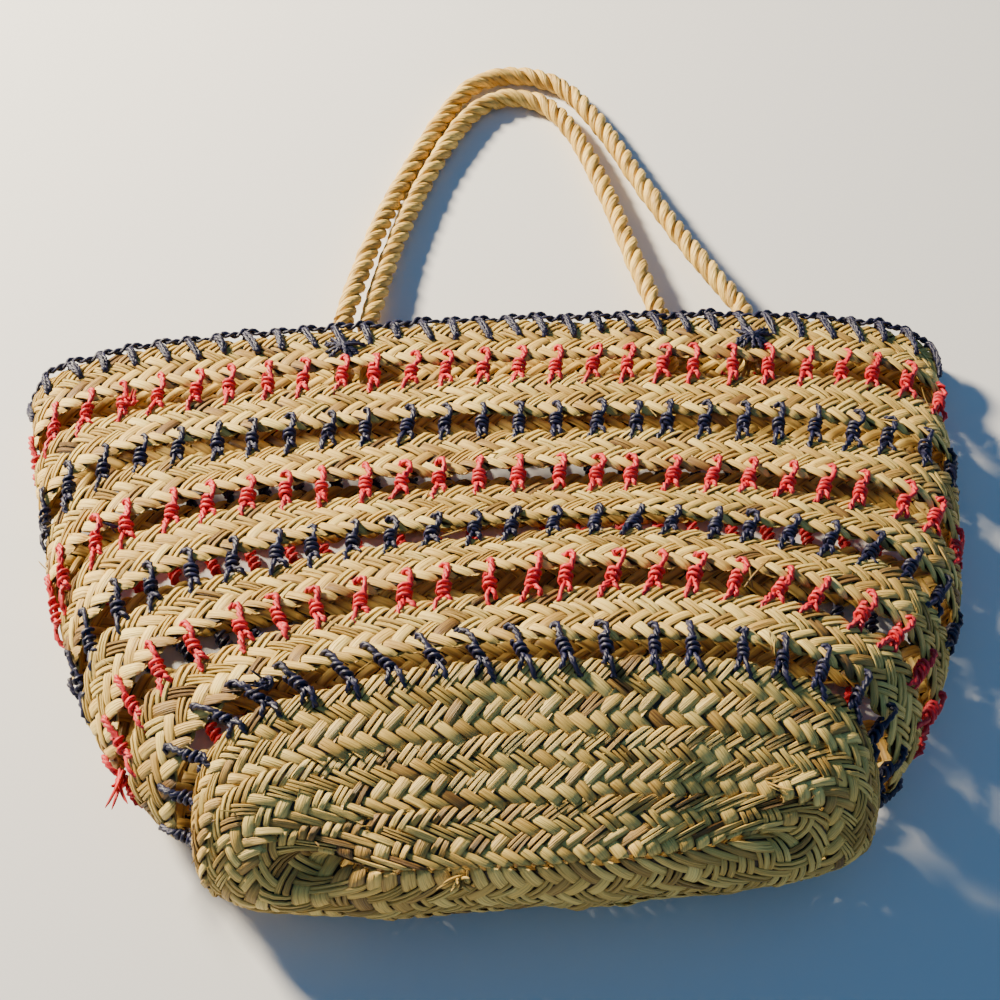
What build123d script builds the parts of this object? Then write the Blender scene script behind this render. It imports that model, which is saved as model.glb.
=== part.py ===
from build123d import *
import os
from math import cos, pi, radians, sin, sqrt, tan

# Plaited palm-leaf bag lying on its back: +X across the mouth, +Y towards the mouth and the handles,
# +Z up, resting on z = 0. Lengths are in millimetres.

# ---- the braid
band_width = 32.0          # length of wall that one open round takes
band_gap = 13.0            # length of wall between two open rounds
braid_thickness = 4.0
open_rounds = 6
base_rounds = 3
base_depth = 93.0          # length of wall from the last stitched row to the fold of the base
round_seam = 3.4           # seam between two rounds of the closed base
core_gap = 4.0             # from the innermost round to the line along which the base is folded

# ---- the mouth
mouth_half_width = 257.0
mouth_front_y = 54.0
mouth_back_y = 57.0
mouth_end_y = 22.0
mouth_height = 24.3        # between the middles of the front and the back wall
mouth_end_height = 9.0     # of the two ends above the back wall

# ---- the wall between the mouth and the foot
end_bluntness = 0.85       # of the two ends of a ring: 0 is an ellipse, more is blunter
arch_softness = 0.15       # how gradually a ring leaves its ends
arch_power = 1.5
straight_share = 0.4       # of the narrowing towards the foot, the rest of it grows as a cube
front_bow = 4.0            # the most that the front wall leaves a straight line
end_bow = 34.0
rise_power = 1.2           # of the growth of the height towards the foot

# ---- the foot, where the open wall meets the closed base
foot_half_width = 155.5
foot_front_y = -203.0
foot_back_y = -230.0
foot_end_y = -256.0
foot_height = 86.8
foot_end_height = 32.0

# ---- the fold of the base
fold_half_length = 91.0
fold_y = -288.7
fold_end_y = -274.7
fold_height = 58.8
fold_end_height = 50.0

# ---- the bulge of the base between its foot and its fold
bulge_half_width = 159.5
bulge_y = -287.7           # half way up its two ends
bulge_middle_y = 4.0       # less far out in the middle of either wall
bulge_half_depth = 31.0
bulge_half_height = 37.0
bulge_end_rise = 3.0
bulge_middle_drop = 2.0

# ---- threads
thread_diameter = 2.6
thread_clearance = 0.5
stitch_pitch = 20.0
edging_diameter = 3.0
edging_stand_off = 2.7     # of the edging cord beyond the edge of the mouth
bar_width = 2.6
bar_length = 15.0
bar_thickness = 1.2
bar_pitch = 16.4
bar_start = 1.0            # from the edge of the mouth
seat = 0.2                 # between a thread and the braid that it lies on
lashing_length = 24.0
lashing_angle = 38.0
lashing_centre = 17.0      # from the edge of the mouth
lashing_reach = 14.0       # bars this near the middle of a lashing are left out

# ---- the rope handles
rope_diameter = 12.0
knuckle_clearance = 0.7
knuckle_round = 4.5        # of a tail's near end, so that the loop can swing past upright
tail_length = 54.0         # from the knuckle to the cut end inside the bag
tail_slope = 6.0           # of the front tails, under the rising front wall
arc_share = 0.45           # of the shorter of two runs that an arc between them takes

# ---- how finely the rings are built
sections_per_half = 30
bend_weight = 110.0       # length of ring that a turn of one radian counts for

front_route = [
    (-84, 68, 17.2), (-74, 108, 13.8), (-58, 158, 9.6), (-38, 206, 6.4), (-17, 248, 6.4),
    (4, 281, 6.4), (25, 291, 6.4), (48, 289, 6.4), (69, 276, 6.4), (86, 243, 6.4),
    (97, 214, 6.4), (111, 170, 8.8), (126, 127, 12.2), (139, 95, 14.6), (151, 68, 16.1),
]
back_route = [
    (-70, 68, 11.6), (-60, 108, 9.8), (-44, 152, 8), (-27, 192, 6.4), (-10, 226, 6.4),
    (5, 252, 6.4), (21, 265, 6.4), (40, 268, 6.4), (57, 258, 6.4), (70, 232, 6.4),
    (79, 200, 6.4), (87, 160, 7.6), (93, 122, 9.3), (98, 92, 10.7), (103, 68, 11.6),
]

# ---- derived
round_pitch = band_width + band_gap
wall_length = open_rounds * round_pitch
back_wall_z = bar_thickness + braid_thickness / 2
rope_radius = rope_diameter / 2


def sideways(angle):
    """From 1 at one end of a ring to -1 at the other, with ends as round as the braid allows."""
    value = cos(radians(angle))
    return value * (1 + end_bluntness) / (1 + end_bluntness * value * value)


def arch(lift):
    """Rises from 0 at the ends of a ring to 1 in the middle of either wall."""
    low = sqrt(lift**2 + arch_softness**2) - arch_softness
    top = sqrt(1 + arch_softness**2) - arch_softness
    return (low / top) ** arch_power


def between(start, end, share):
    return start + (end - start) * share


def ring_half_width(share):
    """Half the width of the flattened ring, which narrows faster towards the foot."""
    loss = mouth_half_width - foot_half_width
    return mouth_half_width - loss * between(share**3, share, straight_share)


def wall_point(angle, length):
    """The middle of the open wall at an angle round the ring, a length away from the mouth."""
    share = length / wall_length
    lift = sin(radians(angle))
    x = ring_half_width(share) * sideways(angle)
    front_y = between(mouth_front_y, foot_front_y, share) - 4 * front_bow * share * (1 - share)
    back_y = between(mouth_back_y, foot_back_y, share)
    end_y = between(mouth_end_y, foot_end_y, share) + end_bow * (max(share, 0) ** 5 - share)
    middle_y = (front_y + back_y) / 2
    y = end_y + (middle_y - end_y) * arch(lift) + (front_y - back_y) / 2 * lift
    height = between(mouth_height, foot_height, max(share, 0) ** rise_power)
    end_height = between(mouth_end_height, foot_end_height, share)
    rise = end_height + height / 2 * lift + (height / 2 - end_height) * lift * lift
    return Vector(x, y, back_wall_z + rise)


def base_point(angle, share):
    """The middle of the closed base: share 0 lies on its fold and share 1 on the foot."""
    lift = sin(radians(angle))
    side = sideways(angle)
    up = arch(lift)
    fold = Vector(
        fold_half_length * side,
        between(fold_end_y, fold_y, up),
        back_wall_z + between(fold_end_height, fold_height, up),
    )
    out_y = bulge_y + bulge_middle_y * up + bulge_half_depth * lift
    rise = bulge_half_height * (1 + lift) + bulge_end_rise * (1 - up) - bulge_middle_drop * up
    bulge = Vector(bulge_half_width * side, out_y, back_wall_z + rise)
    foot = wall_point(angle, wall_length)
    return fold * (1 - share) ** 2 + bulge * (2 * share * (1 - share)) + foot * share**2


def skin_point(angle, length):
    """The middle of the whole skin, by the length from the mouth."""
    if length <= wall_length:
        return wall_point(angle, length)
    return base_point(angle, 1 - (length - wall_length) / base_depth)


def skin_plane(angle, upper, lower):
    """A plane across the braid: X runs down the wall, Y through it and Z along the round."""
    top = skin_point(angle, upper)
    bottom = skin_point(angle, lower)
    middle = (upper + lower) / 2
    along = skin_point(angle + 0.5, middle) - skin_point(angle - 0.5, middle)
    across = (bottom - top).normalized()
    outward = across.cross(along).normalized()
    return Plane((top + bottom) / 2, x_dir=across, z_dir=across.cross(outward))


def outside_plane(angle, along):
    """A plane on the outside of the first round, along its width: X down the wall, Z outward."""
    frame = skin_plane(angle, 0, band_width)
    outward = frame.y_dir * -1
    centre = frame.origin + frame.x_dir * (along - band_width / 2)
    return Plane(centre + outward * (braid_thickness / 2 + seat), x_dir=frame.x_dir, z_dir=outward)


def walk_ring(length, bend):
    """Distance walked round a ring at each half degree, with its bends counted as extra length."""
    points = [skin_point(step / 2, length) for step in range(722)]
    walked = [0.0]
    for before, here, after in zip(points, points[1:], points[2:]):
        turn = radians((here - before).get_angle(after - here))
        walked.append(walked[-1] + (here - before).length + bend * turn)
    return walked


def angle_after(walked, target):
    """The angle at which this distance has been walked."""
    step = next(i for i in range(720) if walked[i + 1] >= target)
    return (step + (target - walked[step]) / (walked[step + 1] - walked[step])) / 2


def half_angles(start, length):
    """Stations of one half of a round, closer together where it bends."""
    walked = walk_ring(length, bend_weight)
    first = walked[2 * start]
    last = walked[2 * start + 360]
    inner = [
        angle_after(walked, between(first, last, number / sections_per_half))
        for number in range(1, sections_per_half)
    ]
    return [start, *inner, start + 180]


def spaced_angles(length, pitch):
    """Angles that share the ring at this length evenly, about one pitch apart."""
    walked = walk_ring(length, 0)
    count = round(walked[-1] / pitch)
    return [angle_after(walked, walked[-1] * (number + 0.5) / count) for number in range(count)]


def angle_at(x, front):
    """The angle whose rim point has this X, on the front or on the back wall."""
    steps = [number / 4 for number in range(720)]
    turned = min(steps, key=lambda angle: abs(wall_point(angle, 0).X - x))
    return turned if front else 360 - turned


def band_limits(number):
    """Upper and lower edge of an open round, numbered from 0 at the mouth."""
    upper = number * round_pitch
    return upper, upper + band_width


def base_limits(number):
    """Outer and inner edge of a round of the closed base, numbered from 0 at the foot."""
    depth = (base_depth - core_gap) / base_rounds
    upper = wall_length + number * depth + (round_seam / 2 if number else 0)
    lower = wall_length + (number + 1) * depth
    return upper, lower - (round_seam / 2 if number < base_rounds - 1 else 0)


def stitch_clearance(span, angle, edge, band_end):
    """How far a stitch stops short of a band's edge so that the whole of its end clears the band."""
    along = skin_point(angle + 0.5, edge) - skin_point(angle - 0.5, edge)
    through = skin_plane(angle, min(edge, band_end), max(edge, band_end)).y_dir
    tilt = span.get_angle(along.cross(through))
    return thread_clearance + thread_diameter / 2 * abs(tan(radians(tilt)))


def corner_radii(points):
    """Largest arcs that fit the corners of a route, at a share of the shorter run."""
    places = [Vector(*point) for point in points]
    radii = []
    for before, corner, after in zip(places, places[1:], places[2:]):
        entry = corner - before
        leave = after - corner
        turn = radians(entry.get_angle(leave))
        radii.append(arc_share * min(entry.length, leave.length) / tan(turn / 2))
    return radii


os.makedirs("parts", exist_ok=True)


# ---- the six open rounds and the three rounds of the base
def build_round(upper, lower):
    with BuildPart() as braid:
        for start in (0, 180):
            for angle in half_angles(start, (upper + lower) / 2):
                width = (skin_point(angle, lower) - skin_point(angle, upper)).length
                with BuildSketch(skin_plane(angle, upper, lower)):
                    Rectangle(width, braid_thickness)
            loft()
    return braid


for number in range(open_rounds):
    plait_round = build_round(*band_limits(number))
    plait_round.part.label = f"plait_round_{number + 1}"
    export_step(plait_round.part, f"parts/{plait_round.part.label}.step")

for number in range(base_rounds):
    base_round = build_round(*base_limits(number))
    base_round.part.label = f"base_round_{number + 1}"
    export_step(base_round.part, f"parts/{base_round.part.label}.step")

# ---- the six rows of joining stitches
for number in range(open_rounds):
    upper = band_limits(number)[1]
    lower = (number + 1) * round_pitch
    colour = "red" if number % 2 == 0 else "navy"
    with BuildPart() as stitch_row:
        for angle in spaced_angles((upper + lower) / 2, stitch_pitch):
            top = skin_point(angle, upper)
            span = skin_point(angle, lower) - top
            above = stitch_clearance(span, angle, upper, upper - band_width)
            below = stitch_clearance(span, angle, lower, lower + band_width)
            with BuildSketch(Plane(top + span.normalized() * above, z_dir=span)):
                Circle(thread_diameter / 2)
            extrude(amount=span.length - above - below)
    stitch_row.part.label = f"stitch_row_{number + 1}_{colour}"
    export_step(stitch_row.part, f"parts/{stitch_row.part.label}.step")

# ---- the edging of the mouth: a cord round the edge and bars over it
with BuildPart() as edging_cord:
    for start in (0, 180):
        for angle in half_angles(start, 0):
            ring = skin_plane(angle, -edging_stand_off - 1, -edging_stand_off + 1)
            with BuildSketch(ring):
                Circle(edging_diameter / 2)
        loft()
edging_cord.part.label = "edging_cord"
export_step(edging_cord.part, "parts/edging_cord.step")

rope_ends = [(front_route, True), (back_route, False)]
lashing_angles = [
    angle_at(route[end][0], front) for route, front in rope_ends for end in (0, -1)
]

with BuildPart() as edging_bars:
    for angle in spaced_angles(bar_start + bar_length / 2, bar_pitch):
        place = wall_point(angle, lashing_centre)
        near = [wall_point(other, lashing_centre) for other in lashing_angles]
        if min((place - other).length for other in near) < lashing_reach:
            continue
        with BuildSketch(outside_plane(angle, bar_start + bar_length / 2)):
            Rectangle(bar_length, bar_width)
        extrude(amount=bar_thickness - seat)
edging_bars.part.label = "edging_bars"
export_step(edging_bars.part, "parts/edging_bars.step")

# ---- the four lashings, each a cross of thread on the outside of the first round
lashing_names = ["front_left", "front_right", "back_left", "back_right"]
for name, angle in zip(lashing_names, lashing_angles):
    with BuildPart() as lashing:
        with BuildSketch(outside_plane(angle, lashing_centre)):
            Rectangle(lashing_length, bar_width, rotation=lashing_angle)
            Rectangle(lashing_length, bar_width, rotation=-lashing_angle)
        extrude(amount=bar_thickness - seat)
    lashing.part.label = f"lashing_{name}"
    export_step(lashing.part, f"parts/{lashing.part.label}.step")


# ---- the rope handles: a loop that swings, and its two tails inside the mouth
def build_loop(route):
    radii = corner_radii(route)
    print("route radii", [round(radius, 1) for radius in radii])
    with BuildPart() as loop:
        with BuildLine():
            centre = FilletPolyline(*route, radius=radii)
        with BuildSketch(Plane(centre @ 0, z_dir=centre % 0)):
            Circle(rope_radius)
        sweep()
        section = pi * rope_radius**2
        print("rope length", round(centre.length, 1))
        print("volume over section and length", loop.part.volume / section / centre.length)
        with Locations(route[0], route[-1]):
            Sphere(rope_radius)
    return loop


def build_tail(hinge, slope):
    back = Vector(0, -cos(radians(slope)), sin(radians(slope)))
    start = Vector(*hinge) + back * (rope_radius + knuckle_clearance)
    with BuildPart() as tail:
        with BuildSketch(Plane(start, z_dir=back)):
            Circle(rope_radius)
        extrude(amount=tail_length - rope_radius - knuckle_clearance)
        fillet(tail.edges().filter_by(GeomType.CIRCLE).sort_by(Axis.Y)[-1], radius=knuckle_round)
    return tail


for side, route, slope in (("front", front_route, tail_slope), ("back", back_route, 0)):
    rope_loop = build_loop(route)
    rope_loop.part.label = f"{side}_handle_rope"
    export_step(rope_loop.part, f"parts/{rope_loop.part.label}.step")
    for hand, hinge in (("left", route[0]), ("right", route[-1])):
        rope_tail = build_tail(hinge, slope)
        rope_tail.part.label = f"{side}_rope_tail_{hand}"
        export_step(rope_tail.part, f"parts/{rope_tail.part.label}.step")
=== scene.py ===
"""A plaited palm-leaf beach bag with two rope handles, lying on its back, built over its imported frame.

The bag is one surface, the skin, of an angle round the bag and a length of wall from its mouth. Leaves,
stitches and lashings are placed by a distance round a ring of the skin, a length and a height above it.
"""

import logging
import math
from dataclasses import dataclass, field
from enum import Enum

import bpy
import numpy as np
from mathutils import Matrix


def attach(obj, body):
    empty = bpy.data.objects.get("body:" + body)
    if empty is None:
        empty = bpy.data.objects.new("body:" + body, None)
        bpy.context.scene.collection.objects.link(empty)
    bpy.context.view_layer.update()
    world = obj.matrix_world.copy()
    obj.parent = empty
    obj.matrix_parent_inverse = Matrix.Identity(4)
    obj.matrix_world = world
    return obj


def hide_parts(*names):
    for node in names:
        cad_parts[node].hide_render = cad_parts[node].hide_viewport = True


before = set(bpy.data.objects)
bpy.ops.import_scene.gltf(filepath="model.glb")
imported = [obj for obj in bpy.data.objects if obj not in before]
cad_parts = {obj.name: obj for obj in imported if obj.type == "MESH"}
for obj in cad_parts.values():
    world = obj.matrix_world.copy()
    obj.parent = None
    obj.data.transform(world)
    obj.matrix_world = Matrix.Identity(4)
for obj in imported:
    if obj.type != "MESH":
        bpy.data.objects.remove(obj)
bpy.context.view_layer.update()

logging.basicConfig(level=logging.INFO, format="%(message)s")
log = logging.getLogger("beach_bag")

PRESSED = 0.0018
Array = np.ndarray


# ---------------------------------------------------------------- the skin


@dataclass(frozen=True)
class Skin:
    """The bag's wall and closed base as one surface, in metres, with the sizes of the CAD model."""

    band_width: float = 0.032
    band_gap: float = 0.013
    open_rounds: int = 6
    base_rounds: int = 3
    base_depth: float = 0.093
    mouth_half_width: float = 0.257
    mouth_front_y: float = 0.054
    mouth_back_y: float = 0.057
    mouth_end_y: float = 0.022
    mouth_height: float = 0.0243
    mouth_end_height: float = 0.009
    foot_half_width: float = 0.1555
    foot_front_y: float = -0.203
    foot_back_y: float = -0.230
    foot_end_y: float = -0.256
    foot_height: float = 0.0868
    foot_end_height: float = 0.032
    fold_half_length: float = 0.091
    fold_y: float = -0.2887
    fold_end_y: float = -0.2747
    fold_height: float = 0.0588
    fold_end_height: float = 0.050
    back_wall_z: float = 0.0032
    coil_ends: tuple[tuple[float, float, float], ...] = (
        (0.080, -0.2725, 0.0655),
        (-0.098, -0.280, 0.0525),
    )
    dimple_depth: float = 0.0042
    dimple_spread: float = 0.019
    slack_drop: float = 0.0085
    slack_length: float = 0.105
    slack_spread: float = 0.075
    slack_angle: float = 64.0
    slack_turn: float = 27.0
    gather_rise: float = 0.0105
    gather_length: float = 0.203
    gather_spread: float = 0.035
    gather_angle: float = 82.0
    gather_turn: float = 15.0

    def settle(self, angle: Array, length: Array) -> Array:
        """How far the slack front wall lies off its even spacing: the drop minus the gather.

        Each is a bell of the length times a bell of the angle. The upper rounds hang toward the
        foot by the drop, and the lower ones are gathered up toward the mouth by the rise.
        """
        turned = np.mod(angle, 360)
        drop = np.exp(-(((length - self.slack_length) / self.slack_spread) ** 2))
        drop = drop * np.exp(-(((turned - self.slack_angle) / self.slack_turn) ** 2))
        gather = np.exp(-(((length - self.gather_length) / self.gather_spread) ** 2))
        gather = gather * np.exp(-(((turned - self.gather_angle) / self.gather_turn) ** 2))
        return self.slack_drop * drop - self.gather_rise * gather

    @property
    def wall_length(self) -> float:
        """Length of wall from the mouth to the foot, where the closed base begins."""
        return self.open_rounds * (self.band_width + self.band_gap)

    @staticmethod
    def sideways(angle: Array) -> Array:
        """1 at one end of a ring and -1 at the other: 1.85 c / (1 + 0.85 c squared), c the cosine."""
        value = np.cos(np.radians(angle))
        return value * 1.85 / (1 + 0.85 * value**2)

    @staticmethod
    def arch(lift: Array) -> Array:
        """0 at the ends of a ring, 1 in the middle of a wall: a softened absolute value, to the 1.5."""
        soft = 0.15
        top = math.sqrt(1 + soft**2) - soft
        return ((np.sqrt(lift**2 + soft**2) - soft) / top) ** 1.5

    def wall(self, angle: Array, length: Array) -> Array:
        """The open wall: y and z go from the ring's ends to its walls with the sine of the angle."""
        share = length / self.wall_length
        lift = np.sin(np.radians(angle))
        loss = self.mouth_half_width - self.foot_half_width
        half_width = self.mouth_half_width - loss * (0.4 * share + 0.6 * share**3)
        front = self.mouth_front_y + (self.foot_front_y - self.mouth_front_y) * share
        front = front - 0.016 * share * (1 - share)
        back = self.mouth_back_y + (self.foot_back_y - self.mouth_back_y) * share
        low = np.maximum(share, 0)
        end = self.mouth_end_y + (self.foot_end_y - self.mouth_end_y) * share
        end = end + 0.034 * (low**5 - share)
        y = end + ((front + back) / 2 - end) * self.arch(lift) + (front - back) / 2 * lift
        height = self.mouth_height + (self.foot_height - self.mouth_height) * low**1.2
        edge = self.mouth_end_height + (self.foot_end_height - self.mouth_end_height) * share
        z = self.back_wall_z + edge + height / 2 * lift + (height / 2 - edge) * lift**2
        return np.stack([half_width * self.sideways(angle), y, z], -1)

    def base(self, angle: Array, share: Array) -> Array:
        """The closed base: a quadratic curve from its fold (share 0) by a bulge to the foot (share 1)."""
        lift = np.sin(np.radians(angle))
        side = self.sideways(angle)
        up = self.arch(lift)
        fold_y = self.fold_end_y + (self.fold_y - self.fold_end_y) * up
        fold_z = self.fold_end_height + (self.fold_height - self.fold_end_height) * up
        fold = np.stack([self.fold_half_length * side, fold_y, self.back_wall_z + fold_z], -1)
        bulge_z = 0.037 * (1 + lift) + 0.003 * (1 - up) - 0.002 * up
        bulge = np.stack(
            [
                (self.foot_half_width + 0.004) * side,
                -0.2877 + 0.004 * up + 0.031 * lift,
                self.back_wall_z + bulge_z,
            ],
            -1,
        )
        foot = self.wall(angle, np.full_like(angle, self.wall_length))
        part = share[..., None]
        return fold * (1 - part) ** 2 + bulge * (2 * part * (1 - part)) + foot * part**2

    def point(self, angle: Array, length: Array) -> Array:
        """A point of the skin, on the open wall or on the base by its length from the mouth."""
        angle, length = np.broadcast_arrays(angle, length)
        length = length + self.settle(angle, length)
        share = 1 - (length - self.wall_length) / self.base_depth
        wall = self.wall(angle, np.minimum(length, self.wall_length))
        base = self.base(angle, np.clip(share, 0, 1))
        return np.where((length <= self.wall_length)[..., None], wall, base)

    def axes(self, angle: Array, length: Array) -> tuple[Array, Array, Array]:
        """Unit vectors along the ring, down the wall and outwards, by central differences.

        Args:
            angle: degrees round the bag, 90 in the middle of the front.
            length: length of wall from the mouth.

        Returns:
            along, down and outward, with outward = along x down.
        """
        length = np.clip(length, -0.01, self.wall_length + self.base_depth - 0.0025)
        along = self.point(angle + 0.4, length) - self.point(angle - 0.4, length)
        down = self.point(angle, length + 0.002) - self.point(angle, length - 0.002)
        along = unit(along)
        outward = unit(np.cross(along, down))
        return along, np.cross(outward, along), outward

    def dimple(self, points: Array) -> Array:
        """How deep the base sinks at the two ends of its coil: a bell of the distance from each."""
        sunk = np.zeros(points.shape[:-1])
        for x, y, z in self.coil_ends:
            away = np.linalg.norm(points - np.array([x, y, z]), axis=-1)
            sunk = sunk + self.dimple_depth * np.exp(-((away / self.dimple_spread) ** 2))
        return sunk

    def lift(self, angle: Array, length: Array, height: Array) -> Array:
        """The point of the skin moved outward by a height."""
        outward = self.axes(angle, length)[2]
        points = self.point(angle, length)
        return points + outward * (np.asarray(height) - self.dimple(points))[..., None]


def unit(vectors: Array) -> Array:
    """Vectors divided by their own lengths."""
    return vectors / np.maximum(np.linalg.norm(vectors, axis=-1, keepdims=True), 1e-12)


@dataclass
class Ring:
    """A closed line round the skin at one length, measured by the distance along it."""

    skin: Skin
    length: float
    angles: Array = field(init=False)
    walked: Array = field(init=False)

    def __post_init__(self) -> None:
        """Adds up the distances between points half a degree apart."""
        self.angles = np.linspace(0, 360, 1441)
        points = self.skin.point(self.angles, np.full(1441, self.length))
        steps = np.linalg.norm(np.diff(points, axis=0), axis=1)
        self.walked = np.concatenate([[0], np.cumsum(steps)])

    @property
    def total(self) -> float:
        """Distance once round."""
        return float(self.walked[-1])

    def angle(self, distance: Array) -> Array:
        """The angle at a distance round the ring, which may run past one turn."""
        turns = np.floor(distance / self.total)
        return np.interp(distance - turns * self.total, self.walked, self.angles) + 360 * turns

    def distance(self, angle: float) -> float:
        """The distance round the ring at an angle."""
        return float(np.interp(angle % 360, self.angles, self.walked))


# ---------------------------------------------------------------- meshes


class MeshStore:
    """Closed tubes of quads gathered into one mesh, with what their materials read."""

    def __init__(self) -> None:
        """Starts empty."""
        self.points: list[Array] = []
        self.faces: list[Array] = []
        self.fibre: list[Array] = []
        self.tone: list[Array] = []
        self.count = 0

    def add(self, rings: Array, fibre: Array, tone: Array, closed: bool = False) -> None:
        """Adds tubes given as rings of points.

        Args:
            rings: points of shape (tubes, rings, round, 3), round even.
            fibre: (along, across, seed) of each point, which the fibres of the material follow.
            tone: a value from 0 to 1 for each tube's colour, and one for how deep it lies in shade.
            closed: whether the last ring joins the first, or both ends are capped.
        """
        tubes, length, turn, _ = rings.shape
        number = np.arange(tubes * length * turn).reshape(tubes, length, turn) + self.count
        ahead = np.roll(number, -1, axis=1) if closed else number[:, 1:]
        here = number if closed else number[:, :-1]
        around = np.roll(here, -1, axis=2)
        sides = np.stack([here, around, np.roll(ahead, -1, axis=2), ahead], -1)
        self.faces.append(sides.reshape(-1, 4))
        if not closed:
            for end, order in ((number[:, 0], (3, 2, 1, 0)), (number[:, -1], (0, 1, 2, 3))):
                for first in range(1, turn - 2, 2):
                    cap = np.stack([end[:, 0], end[:, first], end[:, first + 1], end[:, first + 2]], -1)
                    self.faces.append(cap[:, order])
        self.points.append(rings.reshape(-1, 3))
        self.fibre.append(np.broadcast_to(fibre, rings.shape).reshape(-1, 3))
        colour = np.broadcast_to(tone[:, None, None, :], (tubes, length, turn, 2))
        self.tone.append(colour.reshape(-1, 2))
        self.count += rings[..., 0].size

    def build(self, name: str, sharp: float = 48.0) -> bpy.types.Object:
        """The gathered mesh as an object at the origin, pressed flat where it lies on the floor.

        Below the pressed height p, a height z becomes p exp(z / p - 1), which never reaches 0.

        Args:
            name: the piece's name.
            sharp: degrees past which an edge stays sharp.

        Returns:
            The linked object.
        """
        points = np.concatenate(self.points)
        low = np.minimum(points[:, 2], PRESSED)
        points[:, 2] = np.maximum(points[:, 2], PRESSED) - PRESSED + PRESSED * np.exp(low / PRESSED - 1)
        mesh = bpy.data.meshes.new(name)
        mesh.from_pydata(points, [], np.concatenate(self.faces))
        mesh.polygons.foreach_set("use_smooth", np.ones(len(mesh.polygons), bool))
        mesh.set_sharp_from_angle(angle=math.radians(sharp))
        fibre = mesh.attributes.new("fibre", "FLOAT_VECTOR", "POINT")
        fibre.data.foreach_set("vector", np.concatenate(self.fibre).astype(np.float32).ravel())
        tone = np.concatenate(self.tone)
        colour = np.column_stack([tone, np.zeros(len(tone)), np.ones(len(tone))])
        shade = mesh.attributes.new("tone", "FLOAT_COLOR", "POINT")
        shade.data.foreach_set("color", colour.astype(np.float32).ravel())
        mesh.update()
        piece = bpy.data.objects.new(name, mesh)
        bpy.context.scene.collection.objects.link(piece)
        return piece


def through_keys(keys: Array, samples: int) -> Array:
    """Points of smooth lines through key points: each a cubic of its four nearest keys.

    Args:
        keys: key points of shape (lines, keys, 3).
        samples: how many points each line gets.

    Returns:
        Points of shape (lines, samples, 3).
    """
    count = keys.shape[1]
    place = np.linspace(0, count - 1, samples)
    first = np.minimum(place.astype(int), count - 2)
    f = place - first
    shares = (
        -f / 2 + f**2 - f**3 / 2,
        1 - 2.5 * f**2 + 1.5 * f**3,
        f / 2 + 2 * f**2 - 1.5 * f**3,
        (f**3 - f**2) / 2,
    )
    weights = np.zeros((samples, count))
    for step, share in enumerate(shares):
        np.add.at(weights, (np.arange(samples), np.clip(first - 1 + step, 0, count - 1)), share)
    return np.einsum("sk,nkc->nsc", weights, keys)


def line_frames(lines: Array, guide: Array) -> tuple[Array, Array, Array]:
    """Two unit vectors across each line and the distance along it.

    Args:
        lines: points of shape (lines, points, 3).
        guide: vectors that the lines never run along, of shape (lines, 3).

    Returns:
        side = tangent x guide, up = side x tangent, and the distance from the first point.
    """
    tangent = unit(np.gradient(lines, axis=1))
    side = unit(np.cross(tangent, guide[:, None, :]))
    steps = np.linalg.norm(np.diff(lines, axis=1), axis=2)
    walked = np.concatenate([np.zeros((len(lines), 1)), np.cumsum(steps, axis=1)], axis=1)
    return side, np.cross(side, tangent), walked


def add_cord(
    store: MeshStore,
    lines: Array,
    guide: Array,
    radius: float,
    seeds: Array,
    turn: int = 6,
    taper: float = 0.0,
    closed: bool = False,
) -> None:
    """Adds a plain round tube along each line: centre + radius (cos side + sin up).

    Args:
        store: where the tubes go.
        lines: centre points of shape (lines, points, 3).
        guide: vectors across the lines, of shape (lines, 3).
        radius: the tube's radius.
        seeds: a number from 0 to 1 for each line.
        turn: points in each ring.
        taper: how much of its radius the tube loses towards its ends.
        closed: whether the line joins up.
    """
    side, up, walked = line_frames(lines, guide)
    around = np.linspace(0, 2 * math.pi, turn, endpoint=False)
    share = np.linspace(-1, 1, lines.shape[1])
    thick = radius * (1 - taper * share**4)
    ring = np.cos(around)[:, None] * side[:, :, None, :] + np.sin(around)[:, None] * up[:, :, None, :]
    rings = lines[:, :, None, :] + ring * thick[None, :, None, None]
    fibre = np.empty(rings.shape)
    fibre[..., 0] = walked[:, :, None]
    fibre[..., 1] = np.cos(around)
    fibre[..., 2] = seeds[:, None, None]
    store.add(rings, fibre, np.stack([seeds, np.zeros_like(seeds)], -1), closed)


def add_plied(
    store: MeshStore,
    lines: Array,
    guide: Array,
    plies: int,
    offset: float,
    radius: float,
    lay: float,
    seeds: Array,
    turn: int = 6,
    closed: bool = False,
) -> None:
    """Adds twisted plies along each line: each ply turns about it once for every lay of length.

    Args:
        store: where the tubes go.
        lines: centre points of shape (lines, points, 3).
        guide: vectors across the lines, of shape (lines, 3).
        plies: how many plies the cord has.
        offset: distance of a ply's middle from the line.
        radius: a ply's radius.
        lay: length of one full turn, negative for a left twist.
        seeds: a number from 0 to 1 for each line.
        turn: points in each ring of a ply.
        closed: whether the line joins up.
    """
    side, up, walked = line_frames(lines, guide)
    for ply in range(plies):
        turned = (2 * math.pi * (walked / lay + ply / plies) + 6 * seeds[:, None])[..., None]
        centre = lines + offset * (np.cos(turned) * side + np.sin(turned) * up)
        add_cord(store, centre, guide, radius, seeds, turn, 0.25, closed)


# ---------------------------------------------------------------- finishes


class Thread(Enum):
    """The colours of waxed thread."""

    RED = "red_thread"
    NAVY = "navy_thread"


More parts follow.
